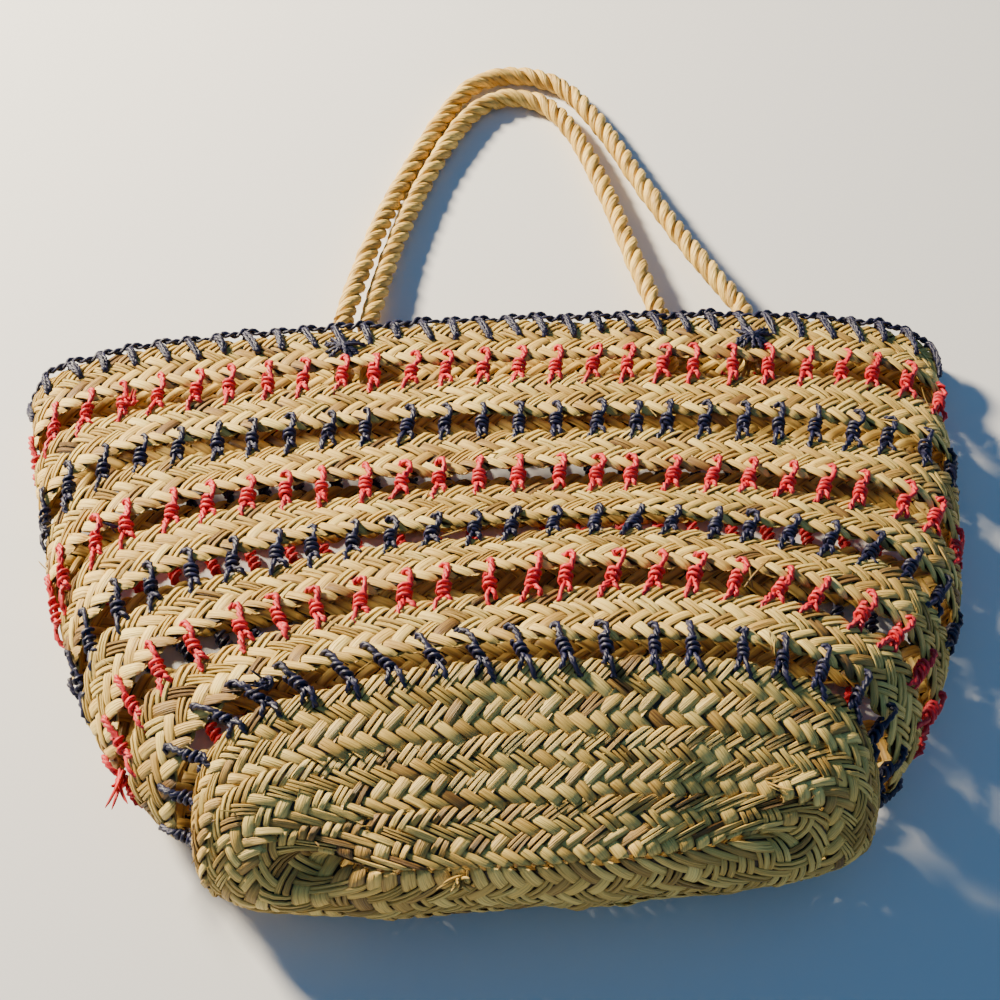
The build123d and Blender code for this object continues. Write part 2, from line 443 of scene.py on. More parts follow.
class NodeBench:
    """Short ways to make and join the nodes of one tree."""

    def __init__(self, tree: bpy.types.NodeTree) -> None:
        """Keeps the tree."""
        self.tree = tree

    def node(self, kind: str, **values: object) -> bpy.types.Node:
        """A new node with its properties set."""
        made = self.tree.nodes.new(kind)
        for name, value in values.items():
            setattr(made, name, value)
        return made

    def join(self, start: bpy.types.NodeSocket, end: bpy.types.NodeSocket) -> None:
        """A link from one socket to another."""
        self.tree.links.new(start, end)

    def maths(self, kind: str, first: object, second: object = 0.0) -> bpy.types.NodeSocket:
        """A Math node of sockets or numbers, and its result."""
        made = self.node("ShaderNodeMath", operation=kind)
        for socket, value in zip(made.inputs, (first, second)):
            if isinstance(value, bpy.types.NodeSocket):
                self.join(value, socket)
            else:
                socket.default_value = value
        return made.outputs[0]

    def ramp(self, factor: bpy.types.NodeSocket, stops: tuple) -> bpy.types.NodeSocket:
        """A colour ramp through (place, colour) stops."""
        made = self.node("ShaderNodeValToRGB")
        while len(made.color_ramp.elements) < len(stops):
            made.color_ramp.elements.new(0.5)
        for element, (place, colour) in zip(made.color_ramp.elements, stops):
            element.position = place
            element.color = (*colour, 1)
        self.join(factor, made.inputs[0])
        return made.outputs[0]

    def blend(self, kind: str, factor: object, first: object, second: object) -> bpy.types.NodeSocket:
        """A colour Mix node of sockets or colours, and its result."""
        made = self.node("ShaderNodeMix", data_type="RGBA", blend_type=kind)
        for socket, value in zip((made.inputs[0], made.inputs[6], made.inputs[7]), (factor, first, second)):
            if isinstance(value, bpy.types.NodeSocket):
                self.join(value, socket)
            elif isinstance(value, tuple):
                socket.default_value = (*value, 1)
            else:
                socket.default_value = value
        return made.outputs[2]


def fibre_group() -> bpy.types.NodeTree:
    """The shared fibres: streaks that run along a leaf or a ply, wider stains and a mask of painted shade at
    its sides.

    Returns:
        A node group with Fineness and Length inputs, and Streaks, Stains, Height and Edge outputs.
    """
    tree = bpy.data.node_groups.new("plant_fibres", "ShaderNodeTree")
    for name, value in (("Fineness", 6.0), ("Length", 60.0)):
        socket = tree.interface.new_socket(name, in_out="INPUT", socket_type="NodeSocketFloat")
        socket.default_value = value
    for name in ("Streaks", "Stains", "Height", "PaintedEdgeShade"):
        tree.interface.new_socket(name, in_out="OUTPUT", socket_type="NodeSocketFloat")
    bench = NodeBench(tree)
    start = bench.node("NodeGroupInput")
    end = bench.node("NodeGroupOutput")
    fibre = bench.node("ShaderNodeAttribute", attribute_name="fibre")
    parts = bench.node("ShaderNodeSeparateXYZ")
    bench.join(fibre.outputs["Vector"], parts.inputs[0])
    along = bench.maths("MULTIPLY", parts.outputs[0], start.outputs["Length"])
    across = bench.maths("MULTIPLY", parts.outputs[1], start.outputs["Fineness"])
    seed = bench.maths("MULTIPLY", parts.outputs[2], 97.0)
    place = bench.node("ShaderNodeCombineXYZ")
    for socket, value in zip(place.inputs, (along, across, seed)):
        bench.join(value, socket)
    streaks = bench.node("ShaderNodeTexNoise")
    streaks.inputs["Scale"].default_value = 1.0
    streaks.inputs["Detail"].default_value = 3.0
    bench.join(place.outputs[0], streaks.inputs["Vector"])
    wide = bench.node("ShaderNodeVectorMath", operation="SCALE")
    wide.inputs["Scale"].default_value = 0.28
    bench.join(place.outputs[0], wide.inputs[0])
    stains = bench.node("ShaderNodeTexNoise")
    stains.inputs["Scale"].default_value = 1.0
    stains.inputs["Detail"].default_value = 2.0
    bench.join(wide.outputs[0], stains.inputs["Vector"])
    # Painted shade mask: the sixth power of the place across, near 1 only at the sides of a leaf or ply,
    # where the gaps and crevices lie.
    edge = bench.maths("POWER", bench.maths("ABSOLUTE", parts.outputs[1]), 6.0)
    height = bench.maths("MULTIPLY", streaks.outputs[0], 1.0)
    for name, value in (
        ("Streaks", streaks.outputs[0]),
        ("Stains", stains.outputs[0]),
        ("Height", height),
        ("PaintedEdgeShade", edge),
    ):
        bench.join(value, end.inputs[name])
    return tree


def start_fibrous(
    name: str, fibres: bpy.types.NodeTree, fineness: float, length: float
) -> tuple[bpy.types.Material, NodeBench, bpy.types.Node, bpy.types.Node]:
    """A new material with its bench, its Principled shader and its own fibres placed."""
    material = bpy.data.materials.new(name)
    material.use_nodes = True
    bench = NodeBench(material.node_tree)
    group = bench.node("ShaderNodeGroup", node_tree=fibres)
    group.inputs["Fineness"].default_value = fineness
    group.inputs["Length"].default_value = length
    return material, bench, material.node_tree.nodes["Principled BSDF"], group


def roughen(
    bench: NodeBench,
    shader: bpy.types.Node,
    group: bpy.types.Node,
    roughness: float,
    spread: float,
    strength: float,
    distance: float,
) -> None:
    """Sets roughness and bump from the fibres: roughness + spread (streaks - 1/2)."""
    rough = bench.maths("MULTIPLY", group.outputs["Streaks"], spread)
    bench.join(bench.maths("ADD", rough, roughness - spread / 2), shader.inputs["Roughness"])
    bump = bench.node("ShaderNodeBump")
    bump.inputs["Strength"].default_value = strength
    bump.inputs["Distance"].default_value = distance
    bench.join(group.outputs["Height"], bump.inputs["Height"])
    bench.join(bump.outputs[0], shader.inputs["Normal"])


@dataclass(frozen=True)
class LeafFinish:
    """Dried palm leaf: a colour for each strand, streaked along its fibres, with painted shade at its edges
    and wherever its shade value is set.
    """

    name: str
    stops: tuple
    fineness: float
    length: float
    bump: float
    roughness: float = 0.52
    # How strongly painted shade darkens the edges.
    edge: float = 0.8

    def make(self, fibres: bpy.types.NodeTree) -> bpy.types.Material:
        """The material.

        Args:
            fibres: the shared group of fibres.

        Returns:
            A material that reads the piece's own fibre and tone attributes.
        """
        material, bench, shader, group = start_fibrous(self.name, fibres, self.fineness, self.length)
        tone = bench.node("ShaderNodeAttribute", attribute_name="tone")
        parts = bench.node("ShaderNodeSeparateColor")
        bench.join(tone.outputs["Color"], parts.inputs[0])
        stained = bench.maths("MULTIPLY", bench.maths("SUBTRACT", group.outputs["Stains"], 0.5), 0.55)
        mixed = bench.maths("ADD", parts.outputs[0], stained)
        colour = bench.ramp(mixed, self.stops)
        streaked = bench.ramp(
            group.outputs["Streaks"],
            ((0.32, (0.50, 0.41, 0.28)), (0.5, (1, 1, 1)), (0.68, (1.1, 1.08, 1.02))),
        )
        colour = bench.blend("MULTIPLY", 0.85, colour, streaked)
        # Painted shade: the sides of a leaf, and the inner sides of a rope's strands, darkened towards dark
        # brown.
        painted_edge_shade = bench.maths("MULTIPLY", group.outputs["PaintedEdgeShade"], self.edge)
        colour = bench.blend("MULTIPLY", painted_edge_shade, colour, (0.24, 0.15, 0.06))
        # Painted shade: the tone's second value darkens towards near black; only the sheet between the
        # braid's faces has it.
        colour = bench.blend("MULTIPLY", parts.outputs[1], colour, (0.06, 0.04, 0.02))
        bench.join(colour, shader.inputs["Base Color"])
        roughen(bench, shader, group, self.roughness, 0.24, 1.0, self.bump)
        shader.inputs["Specular IOR Level"].default_value = 0.42
        return material


@dataclass(frozen=True)
class ThreadFinish:
    """Waxed twisted thread: fine fibres along each ply, paler where it is worn."""

    name: str
    colour: tuple[float, float, float]
    worn: tuple[float, float, float]
    roughness: float

    def make(self, fibres: bpy.types.NodeTree) -> bpy.types.Material:
        """The material.

        Args:
            fibres: the shared group of fibres.

        Returns:
            A material that reads the piece's own fibre attribute.
        """
        material, bench, shader, group = start_fibrous(self.name, fibres, 2.6, 260.0)
        worn = bench.ramp(group.outputs["Streaks"], ((0.42, (0, 0, 0)), (0.72, (1, 1, 1))))
        colour = bench.blend("MIX", worn, self.colour, self.worn)
        stains = bench.ramp(group.outputs["Stains"], ((0.3, (0.62, 0.6, 0.6)), (0.65, (1, 1, 1))))
        bench.join(bench.blend("MULTIPLY", 1.0, colour, stains), shader.inputs["Base Color"])
        roughen(bench, shader, group, self.roughness, 0.3, 0.9, 0.0005)
        return material


LEAF = LeafFinish(
    "palm_leaf",
    (
        (0.0, (0.20, 0.10, 0.022)),
        (0.14, (0.38, 0.22, 0.045)),
        (0.34, (0.62, 0.39, 0.085)),
        (0.62, (0.83, 0.56, 0.130)),
        (1.0, (0.97, 0.74, 0.215)),
    ),
    fineness=5.0,
    length=55.0,
    bump=0.0009,
)
ROPE = LeafFinish(
    "palm_rope",
    (
        (0.0, (0.26, 0.14, 0.030)),
        (0.25, (0.52, 0.33, 0.080)),
        (0.6, (0.76, 0.49, 0.110)),
        (1.0, (0.92, 0.69, 0.200)),
    ),
    fineness=3.4,
    length=120.0,
    bump=0.0016,
    # Painted shade, strong here: the inner sides of the strands, in the crevices between them.
    edge=0.97,
)
THREADS = {
    Thread.RED: ThreadFinish(Thread.RED.value, (0.66, 0.006, 0.022), (0.90, 0.05, 0.06), 0.5),
    Thread.NAVY: ThreadFinish(Thread.NAVY.value, (0.004, 0.004, 0.028), (0.022, 0.022, 0.090), 0.45),
}


@dataclass
class Palette:
    """Every finish of the bag, made once."""

    leaf: bpy.types.Material = field(init=False)
    rope: bpy.types.Material = field(init=False)
    threads: dict[Thread, bpy.types.Material] = field(init=False)

    def __post_init__(self) -> None:
        """Makes the shared fibres and the materials that use them."""
        fibres = fibre_group()
        self.leaf = LEAF.make(fibres)
        self.rope = ROPE.make(fibres)
        self.threads = {colour: finish.make(fibres) for colour, finish in THREADS.items()}


def seat_piece(
    piece: bpy.types.Object, body: str, material: bpy.types.Material, nodes: tuple[str, ...]
) -> None:
    """Gives a piece its material, its body and the CAD nodes that it stands for."""
    piece.data.materials.append(material)
    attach(piece, body)
    if nodes:
        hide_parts(*nodes)
    log.info("%s: %d faces", piece.name, len(piece.data.polygons))


# ---------------------------------------------------------------- the braid


@dataclass
class BraidRound:
    """One round of braid, plaited over two and under two, four rows of leaves wide on each face."""

    skin: Skin
    name: str
    upper: float
    lower: float
    seed: int
    pitch: float = 0.0100
    rows: int = 4
    height: float = 0.0016
    thickness: float = 0.0011
    tuck: float = 0.0024
    fold_radius: float = 0.0019
    # The sheet of painted shade between the two faces: its margin, half thickness and points across.
    shade_sheet_margin: float = 0.0012
    shade_sheet_half_thickness: float = 0.0004
    shade_sheet_points: int = 9
    inside: bool = True
    wrap_lower: bool = True
    shade: float = 0.0

    def __post_init__(self) -> None:
        """Lays out the ring that the leaves are counted along."""
        self.random = np.random.default_rng(self.seed)
        self.ring = Ring(self.skin, (self.upper + self.lower) / 2)
        self.count = round(self.ring.total / self.pitch)
        self.step = self.ring.total / self.count
        self.row_step = (self.lower - self.upper) / self.rows
        self.waves = self.random.uniform(0, 2 * math.pi, (2, 4))

    def hand_wave(self, distance: Array, across: Array) -> Array:
        """How far the hand-made skin rises or sinks: four sines round the ring, tilted across it."""
        turn = 2 * math.pi * distance / self.ring.total
        rise = np.zeros_like(turn)
        tilt = np.zeros_like(turn)
        for order, (first, second) in enumerate(self.waves.T):
            rise = rise + np.sin((5 + 6 * order) * turn + first) / (1 + order)
            tilt = tilt + np.sin((7 + 5 * order) * turn + second) / (1 + order)
        return 0.0006 * rise + 0.0009 * tilt * (across / (self.lower - self.upper) - 0.5) * 2

    def place(self, distance: Array, across: Array, height: Array) -> Array:
        """Points by distance round the ring, distance below the upper edge and height.

        Past an edge the leaf folds round it: with x the distance past the edge and r the fold's
        radius, it stands r sin(x / r) beyond the edge and its height is multiplied by cos(x / r).
        """
        width = self.lower - self.upper
        below = np.maximum(across - width, 0) if self.wrap_lower else np.zeros_like(across)
        above = np.maximum(-across, 0)
        turned = np.minimum((above + below) / self.fold_radius, 0.92 * math.pi)
        beyond = self.fold_radius * np.sin(turned) * 0.8
        kept = np.clip(across, 0, width) if self.wrap_lower else np.maximum(across, 0)
        kept = kept + np.where(below > 0, beyond, np.where(above > 0, -beyond, 0))
        height = height * np.cos(turned) + self.hand_wave(distance, across)
        return self.skin.lift(self.ring.angle(distance), self.upper + kept, height)

    def strand_tones(self) -> Array:
        """A colour tone for each strand of both slants: mostly pale, some tan and a few brown."""
        tones = self.random.beta(4.2, 2.0, (2, self.count)) * 0.95
        brown = self.random.random((2, self.count)) < 0.09
        return np.where(brown, self.random.uniform(0.02, 0.3, (2, self.count)), tones)

    def add_row(self, store: MeshStore, row: int, outer: bool, tones: Array, splits: Array) -> None:
        """Adds one row of leaves, each running over two others and tucked under at both ends.

        Args:
            store: where the leaves go.
            row: 0 at the upper edge.
            outer: whether the row is on the outside.
            tones: a tone for each strand of both slants.
            splits: how many leaflets each strand of both slants has.
        """
        number = np.arange(self.count)
        slant = row % 2 if outer else 1 - row % 2
        strand = (number + (row if slant else -row)) % self.count
        middle = (number + 0.5 * (row % 2)) * self.step
        middle = middle + self.random.normal(0, 0.04 * self.step, self.count)
        leaflets = splits[slant, strand]
        if row == 0:
            leaflets = np.maximum(leaflets, 2)
        if row == self.rows - 1 or not outer:
            leaflets = np.ones_like(leaflets)
        direction = np.array([self.step, self.row_step if slant == 0 else -self.row_step])
        reach = float(np.hypot(*direction))
        direction = direction / reach
        half_width = self.step * abs(direction[1]) / 2
        for pieces in (1, 2, 3):
            chosen = np.flatnonzero(leaflets == pieces)
            for part in range(pieces):
                if len(chosen):
                    offset = (part - (pieces - 1) / 2) * 2 * half_width / pieces
                    self.add_leaves(
                        store, row, outer, middle[chosen], direction, reach / 2, offset,
                        half_width / pieces, tones[slant, strand[chosen]],
                    )

    def add_leaves(
        self,
        store: MeshStore,
        row: int,
        outer: bool,
        middle: Array,
        direction: Array,
        half_length: float,
        offset: float,
        half_width: float,
        tones: Array,
    ) -> None:
        """Adds leaflets as flat tubes of six points round and seven rings along.

        The height over the skin is h (1 - (d / half length) ** 4) - tuck at a distance d from the
        middle, so that both ends dive under the crossing leaves.
        """
        count = len(middle)
        reach = half_length + self.tuck
        along = np.array([-1.0, -0.74, -0.5, 0.0, 0.5, 0.74, 1.0]) * reach
        along = along[None, :, None] * (1 + self.random.normal(0, 0.03, (count, 1, 1)))
        shape = np.array([(-1, -0.25), (-0.62, 0.45), (0.62, 0.45), (1, -0.25), (0.6, -0.5), (-0.6, -0.5)])
        wide = self.random.uniform(0.86, 1.03, (count, 1, 1)) - (0.1 if offset else 0.0)
        across = offset + shape[:, 0] * half_width * wide
        fan = self.random.normal(0, 0.045, (count, 1, 1)) + offset * 8 * np.sign(along + 1e-9) * 0.3
        across = across + fan * along
        crown = shape[:, 1] * self.thickness
        tilt = self.random.normal(0, 0.07, (count, 1, 1))
        rise = self.height * (1 - 1.5 * np.abs(along / reach) ** 3.2) + crown + tilt * across
        rise = rise + self.random.normal(0, 0.00014, (count, 1, 1))
        distance = middle[:, None, None] + along * direction[0] - across * direction[1]
        down = (row + 0.5) * self.row_step + along * direction[1] + across * direction[0]
        side = 1.0 if outer else -1.0
        rings = self.place(distance, down, side * rise)
        if not outer:
            rings = rings[:, :, ::-1]
        fibre = np.empty(rings.shape)
        fibre[..., 0] = along
        fibre[..., 1] = shape[:, 0]
        fibre[..., 2] = self.random.random(count)[:, None, None]
        tone = np.clip(tones + self.random.normal(0, 0.07, count), 0, 1)
        store.add(rings, fibre, np.stack([tone, np.full(count, self.shade)], -1))

    def add_painted_shade_sheet(self, store: MeshStore) -> None:
        """Adds a sheet of painted shade: a closed flat ring between the braid's two faces of leaves, near
        black where it shows through the gaps.
        """
        width = self.lower - self.upper
        distance = np.linspace(0, self.ring.total, 361)[:-1]
        down = np.linspace(self.shade_sheet_margin, width - self.shade_sheet_margin, self.shade_sheet_points)
        face = np.full(self.shade_sheet_points, self.shade_sheet_half_thickness)
        across = np.concatenate([down, down[::-1]])
        height = np.concatenate([face, -face])
        grid = np.broadcast_to(distance[None, :, None], (1, len(distance), len(across)))
        rings = self.place(
            grid, np.broadcast_to(across, grid.shape), np.broadcast_to(height, grid.shape)
        )
        fibre = np.stack([grid, np.zeros_like(grid), np.zeros_like(grid)], -1)
        # Tone 0.1 and shade 0.95: painted shade, nearly black.
        store.add(rings[:, :, ::-1], fibre, np.array([[0.1, 0.95]]), closed=True)

    def build(self, palette: Palette) -> bpy.types.Object:
        """The whole round as one piece in place of its CAD node."""
        store = MeshStore()
        tones = self.strand_tones()
        splits = self.random.choice((1, 2, 3), (2, self.count), p=(0.46, 0.33, 0.21))
        for row in range(self.rows):
            self.add_row(store, row, True, tones, splits)
            if self.inside:
                self.add_row(store, row, False, tones, splits)
        self.add_painted_shade_sheet(store)
        piece = store.build(f"leaves_{self.name}")
        seat_piece(piece, "bag", palette.leaf, (self.name,))
        return piece


# ---------------------------------------------------------------- threads


@dataclass
class StitchRow:
    """A row of joining stitches: a hook over the upper braid, turns round itself, a forked foot."""

    skin: Skin
    number: int
    upper: float
    lower: float
    lean: float
    colour: Thread
    pitch: float = 0.020
    ply_radius: float = 0.00112
    ply_offset: float = 0.00096
    lay: float = 0.0072

    def build(self, palette: Palette) -> bpy.types.Object:
        """The whole row as one piece in place of its CAD node."""
        random = np.random.default_rng(700 + self.number)
        ring = Ring(self.skin, (self.upper + self.lower) / 2)
        count = round(ring.total / self.pitch)
        middle = (np.arange(count) + 0.5) * ring.total / count
        gap = self.lower - self.upper
        lean = self.lean * random.uniform(0.6, 1.5, count)
        middle = middle + random.normal(0, 0.0011, count)
        half_way = np.full(count, (self.upper + self.lower) / 2)
        along, down, outward = self.skin.axes(ring.angle(middle), half_way)
        store = MeshStore()
        seeds = random.random(count)
        hook = self.hook_keys(lean, gap, count, random)
        add_plied(
            store, self.place(ring, middle, through_keys(hook, 17)), along + 0.3 * outward, 2,
            self.ply_offset, self.ply_radius, self.lay, seeds,
        )
        leg = self.leg_keys(lean, gap, count, random)
        add_plied(
            store, self.place(ring, middle, through_keys(leg, 8)), along + 0.3 * outward, 2,
            self.ply_offset * 0.7, self.ply_radius * 0.8, self.lay, seeds,
        )
        coil = self.coil_keys(lean, gap, count, random)
        add_cord(store, self.place(ring, middle, coil), down, self.ply_radius * 0.95, seeds)
        name = f"stitch_row_{self.number}_{'red' if self.colour is Thread.RED else 'navy'}"
        piece = store.build(f"thread_{name}", 70)
        seat_piece(piece, "bag", palette.threads[self.colour], (name,))
        return piece

    def place(self, ring: Ring, middle: Array, keys: Array) -> Array:
        """Points of the stitches from keys (sideways, down from the upper edge, height)."""
        angle = ring.angle(middle[:, None] - keys[..., 0])
        return self.skin.lift(angle, self.upper + keys[..., 1], keys[..., 2])

    def hook_keys(self, lean: Array, gap: float, count: int, random: np.random.Generator) -> Array:
        """Key points (sideways, down, height) from inside the upper braid to inside the lower one."""
        keys = np.zeros((count, 8, 3))
        down = (-0.0076, -0.0074, -0.0062, -0.0004, gap * 0.35, gap * 0.75, gap + 0.0034, gap + 0.0080)
        height = (-0.0002, 0.0022, 0.0034, 0.0032, 0.0010, 0.0008, 0.0031, 0.0004)
        shift = (0.62, 0.62, 0.60, 0.42, 0.12, -0.15, -0.62, -0.95)
        curl = random.uniform(0.0008, 0.0030, count)
        keys[..., 0] = np.outer(lean, shift) + np.outer(curl, (-1.0, -0.75, 0.35, 0.6, 0.1, 0.0, 0.0, -0.1))
        keys[..., 1] = down
        keys[..., 2] = height
        keys[..., :2] += random.normal(0, 0.00060, (count, 8, 2))
        return keys

    def leg_keys(self, lean: Array, gap: float, count: int, random: np.random.Generator) -> Array:
        """Key points of the short leg of the fork, on the other side of the long one."""
        keys = np.zeros((count, 4, 3))
        keys[..., 0] = np.outer(lean, (-0.05, 0.05, 0.32, 0.45))
        keys[..., 1] = (gap * 0.55, gap * 0.9, gap + 0.0022, gap + 0.0038)
        keys[..., 2] = (0.0012, 0.0016, 0.0029, 0.0004)
        keys[..., :2] += random.normal(0, 0.0004, (count, 4, 2))
        return keys

    def coil_keys(self, lean: Array, gap: float, count: int, random: np.random.Generator) -> Array:
        """A helix round the thread in the gap: radius times cosine sideways and sine outward."""
        turned = np.linspace(0, 2 * math.pi * 2.6, 22) + random.uniform(0, 6, (count, 1))
        share = np.linspace(0, 1, 22)
        keys = np.zeros((count, 22, 3))
        radius = self.ply_offset + self.ply_radius * random.uniform(1.2, 1.75, (count, 1))
        keys[..., 0] = np.outer(lean, 0.25 - 0.42 * share) + radius * np.cos(turned)
        keys[..., 1] = gap * (0.16 + 0.68 * share) + random.normal(0, 0.0005, (count, 1))
        keys[..., 1] += random.uniform(0.0006, 0.0022, (count, 1)) * np.cos(turned)
        keys[..., 2] = 0.0011 + radius * np.sin(turned)
        return keys


@dataclass
class MouthEdging:
    """The navy edging of the mouth: a twisted chain on the edge, with slanted bars under it."""

    skin: Skin
    bar_pitch: float = 0.0164
    bar_length: float = 0.0150
    ply_radius: float = 0.00105

    def build_chain(self, palette: Palette) -> bpy.types.Object:
        """The chain as two plies round the edge, pulled down a little at each bar."""
        ring = Ring(self.skin, 0.0)
        count = round(ring.total / self.bar_pitch)
        samples = count * 10
        distance = np.arange(samples) * ring.total / samples
        turn = 2 * math.pi * np.arange(samples) / 10
        slow, half, twist = (round(share * count) / count for share in (0.31, 0.5, 1.5))
        length = -0.0028 + 0.0013 * np.cos(turn) + 0.0006 * np.sin(turn * slow + 1)
        height = 0.0006 + 0.0007 * np.sin(turn * half)
        line = self.skin.lift(ring.angle(distance), length, height)[None]
        store = MeshStore()
        side, up, _ = self.closed_frame(line)
        for ply in (0, 1):
            turned = (turn * twist + math.pi * ply)[None, :, None]
            centre = line + 0.0011 * (np.cos(turned) * side + np.sin(turned) * up)
            around = np.linspace(0, 2 * math.pi, 6, endpoint=False)
            ring_points = np.cos(around)[:, None] * side[:, :, None]
            ring_points = ring_points + np.sin(around)[:, None] * up[:, :, None]
            rings = centre[:, :, None] + ring_points * self.ply_radius
            fibre = np.empty(rings.shape)
            fibre[..., 0] = distance[None, :, None]
            fibre[..., 1] = np.cos(around)
            fibre[..., 2] = 0.3 + 0.4 * ply
            store.add(rings, fibre, np.array([[0.5, 0.0]]), closed=True)
        piece = store.build("thread_edging_chain", 70)
        seat_piece(piece, "bag", palette.threads[Thread.NAVY], ("edging_cord",))
        return piece

    @staticmethod
    def closed_frame(line: Array) -> tuple[Array, Array, Array]:
        """Side and up of a closed line, from the differences of its neighbours."""
        tangent = unit(np.roll(line, -1, axis=1) - np.roll(line, 1, axis=1))
        side = unit(np.cross(tangent, np.array([0.0, 0.35, 1.0])))
        return side, np.cross(side, tangent), tangent

    def build_bars(self, palette: Palette) -> bpy.types.Object:
        """The bars: thread over the edge, down the outside and in, with a second turn beside it."""
        random = np.random.default_rng(41)
        ring = Ring(self.skin, 0.008)
        count = round(ring.total / self.bar_pitch)
        middle = (np.arange(count) + 0.5) * ring.total / count
        along, _, outward = self.skin.axes(ring.angle(middle), np.full(count, 0.008))
        store = MeshStore()
        lean = random.uniform(0.0012, 0.0050, count)
        size = self.bar_length * random.uniform(0.72, 1.05, count)
        for turn, (shift, radius) in enumerate(((-0.0009, 1.0), (0.0009, 1.0), (0.0, 1.0))):
            keys = np.zeros((count, 6, 3))
            keys[..., 0] = np.outer(lean, (-0.5, -0.4, -0.1, 0.5, 0.95, 1.0))
            keys[..., 0] = keys[..., 0] + shift * np.array([0.5, 0.8, 1.2, 1.3, 0.7, 0.1])
            keys[..., 1] = np.outer(size, (0.12, -0.12, 0.04, 0.5, 0.92, 1.0 - 0.05 * turn))
            keys[..., 2] = (-0.0022, 0.0008, 0.0030, 0.0032, 0.0026, 0.0000)
            keys[:, 2:4, 2] += 0.0009 if turn == 2 else 0.0
            keys[..., :2] += random.normal(0, 0.0003, (count, 6, 2))
            line = through_keys(keys, 13)
            points = self.skin.lift(ring.angle(middle[:, None] - line[..., 0]), line[..., 1], line[..., 2])
            add_plied(
                store, points, along + 0.3 * outward, 2, self.ply_radius * 0.75,
                self.ply_radius * radius * 0.85, 0.0065, random.random(count),
            )
        piece = store.build("thread_edging_bars", 70)
        seat_piece(piece, "bag", palette.threads[Thread.NAVY], ("edging_bars",))
        return piece


@dataclass
class Lashing:
    """Navy thread crossed several times over the first round, where a rope's tail is sewn inside."""

    skin: Skin
    name: str
    across: float
    front: bool
    seed: int
    centre: float = 0.017
    length: float = 0.024
    ply_radius: float = 0.00105

    def build(self, palette: Palette) -> bpy.types.Object:
        """The lashing in place of its CAD node."""
        random = np.random.default_rng(self.seed)
        angles = np.linspace(0, 180, 721) if self.front else np.linspace(180, 360, 721)
        edge = self.skin.point(angles, np.zeros(721))
        angle = float(angles[np.argmin(np.abs(edge[:, 0] - self.across))])
        ring = Ring(self.skin, self.centre)
        middle = ring.distance(angle)
        slants = np.radians(np.array([38.0, -38.0, 30.0, -46.0, 62.0, -14.0, 84.0]))
        count = len(slants)
        share = np.array([-1.0, -0.92, -0.5, 0.0, 0.5, 0.92, 1.0])
        reach = self.length / 2 * random.uniform(0.72, 1.05, (count, 1))
        keys = np.zeros((count, 7, 3))
        keys[..., 0] = reach * share * np.cos(slants)[:, None] + random.normal(0, 0.0012, (count, 1))
        keys[..., 1] = self.centre + reach * share * np.sin(slants)[:, None] * 0.85
        keys[..., 2] = np.array([0.0, 0.0022, 0.0034, 0.0040, 0.0034, 0.0022, 0.0])
        keys[..., 2] += np.linspace(0, 0.0016, count)[:, None] * (1 - share**2)
        if not self.front:
            keys[..., 2] = np.minimum(keys[..., 2], 0.0022)
        line = through_keys(keys, 13)
        points = self.skin.lift(ring.angle(middle - line[..., 0]), line[..., 1], line[..., 2])
        along, _, outward = self.skin.axes(np.full(count, angle), np.full(count, self.centre))
        store = MeshStore()
        add_plied(
            store, points, outward + 0.05 * along, 2, self.ply_radius * 0.75, self.ply_radius * 0.85,
            0.006, random.random(count),
        )
        piece = store.build(f"thread_{self.name}", 70)
        seat_piece(piece, "bag", palette.threads[Thread.NAVY], (self.name,))
        return piece


# ---------------------------------------------------------------- the rope handles


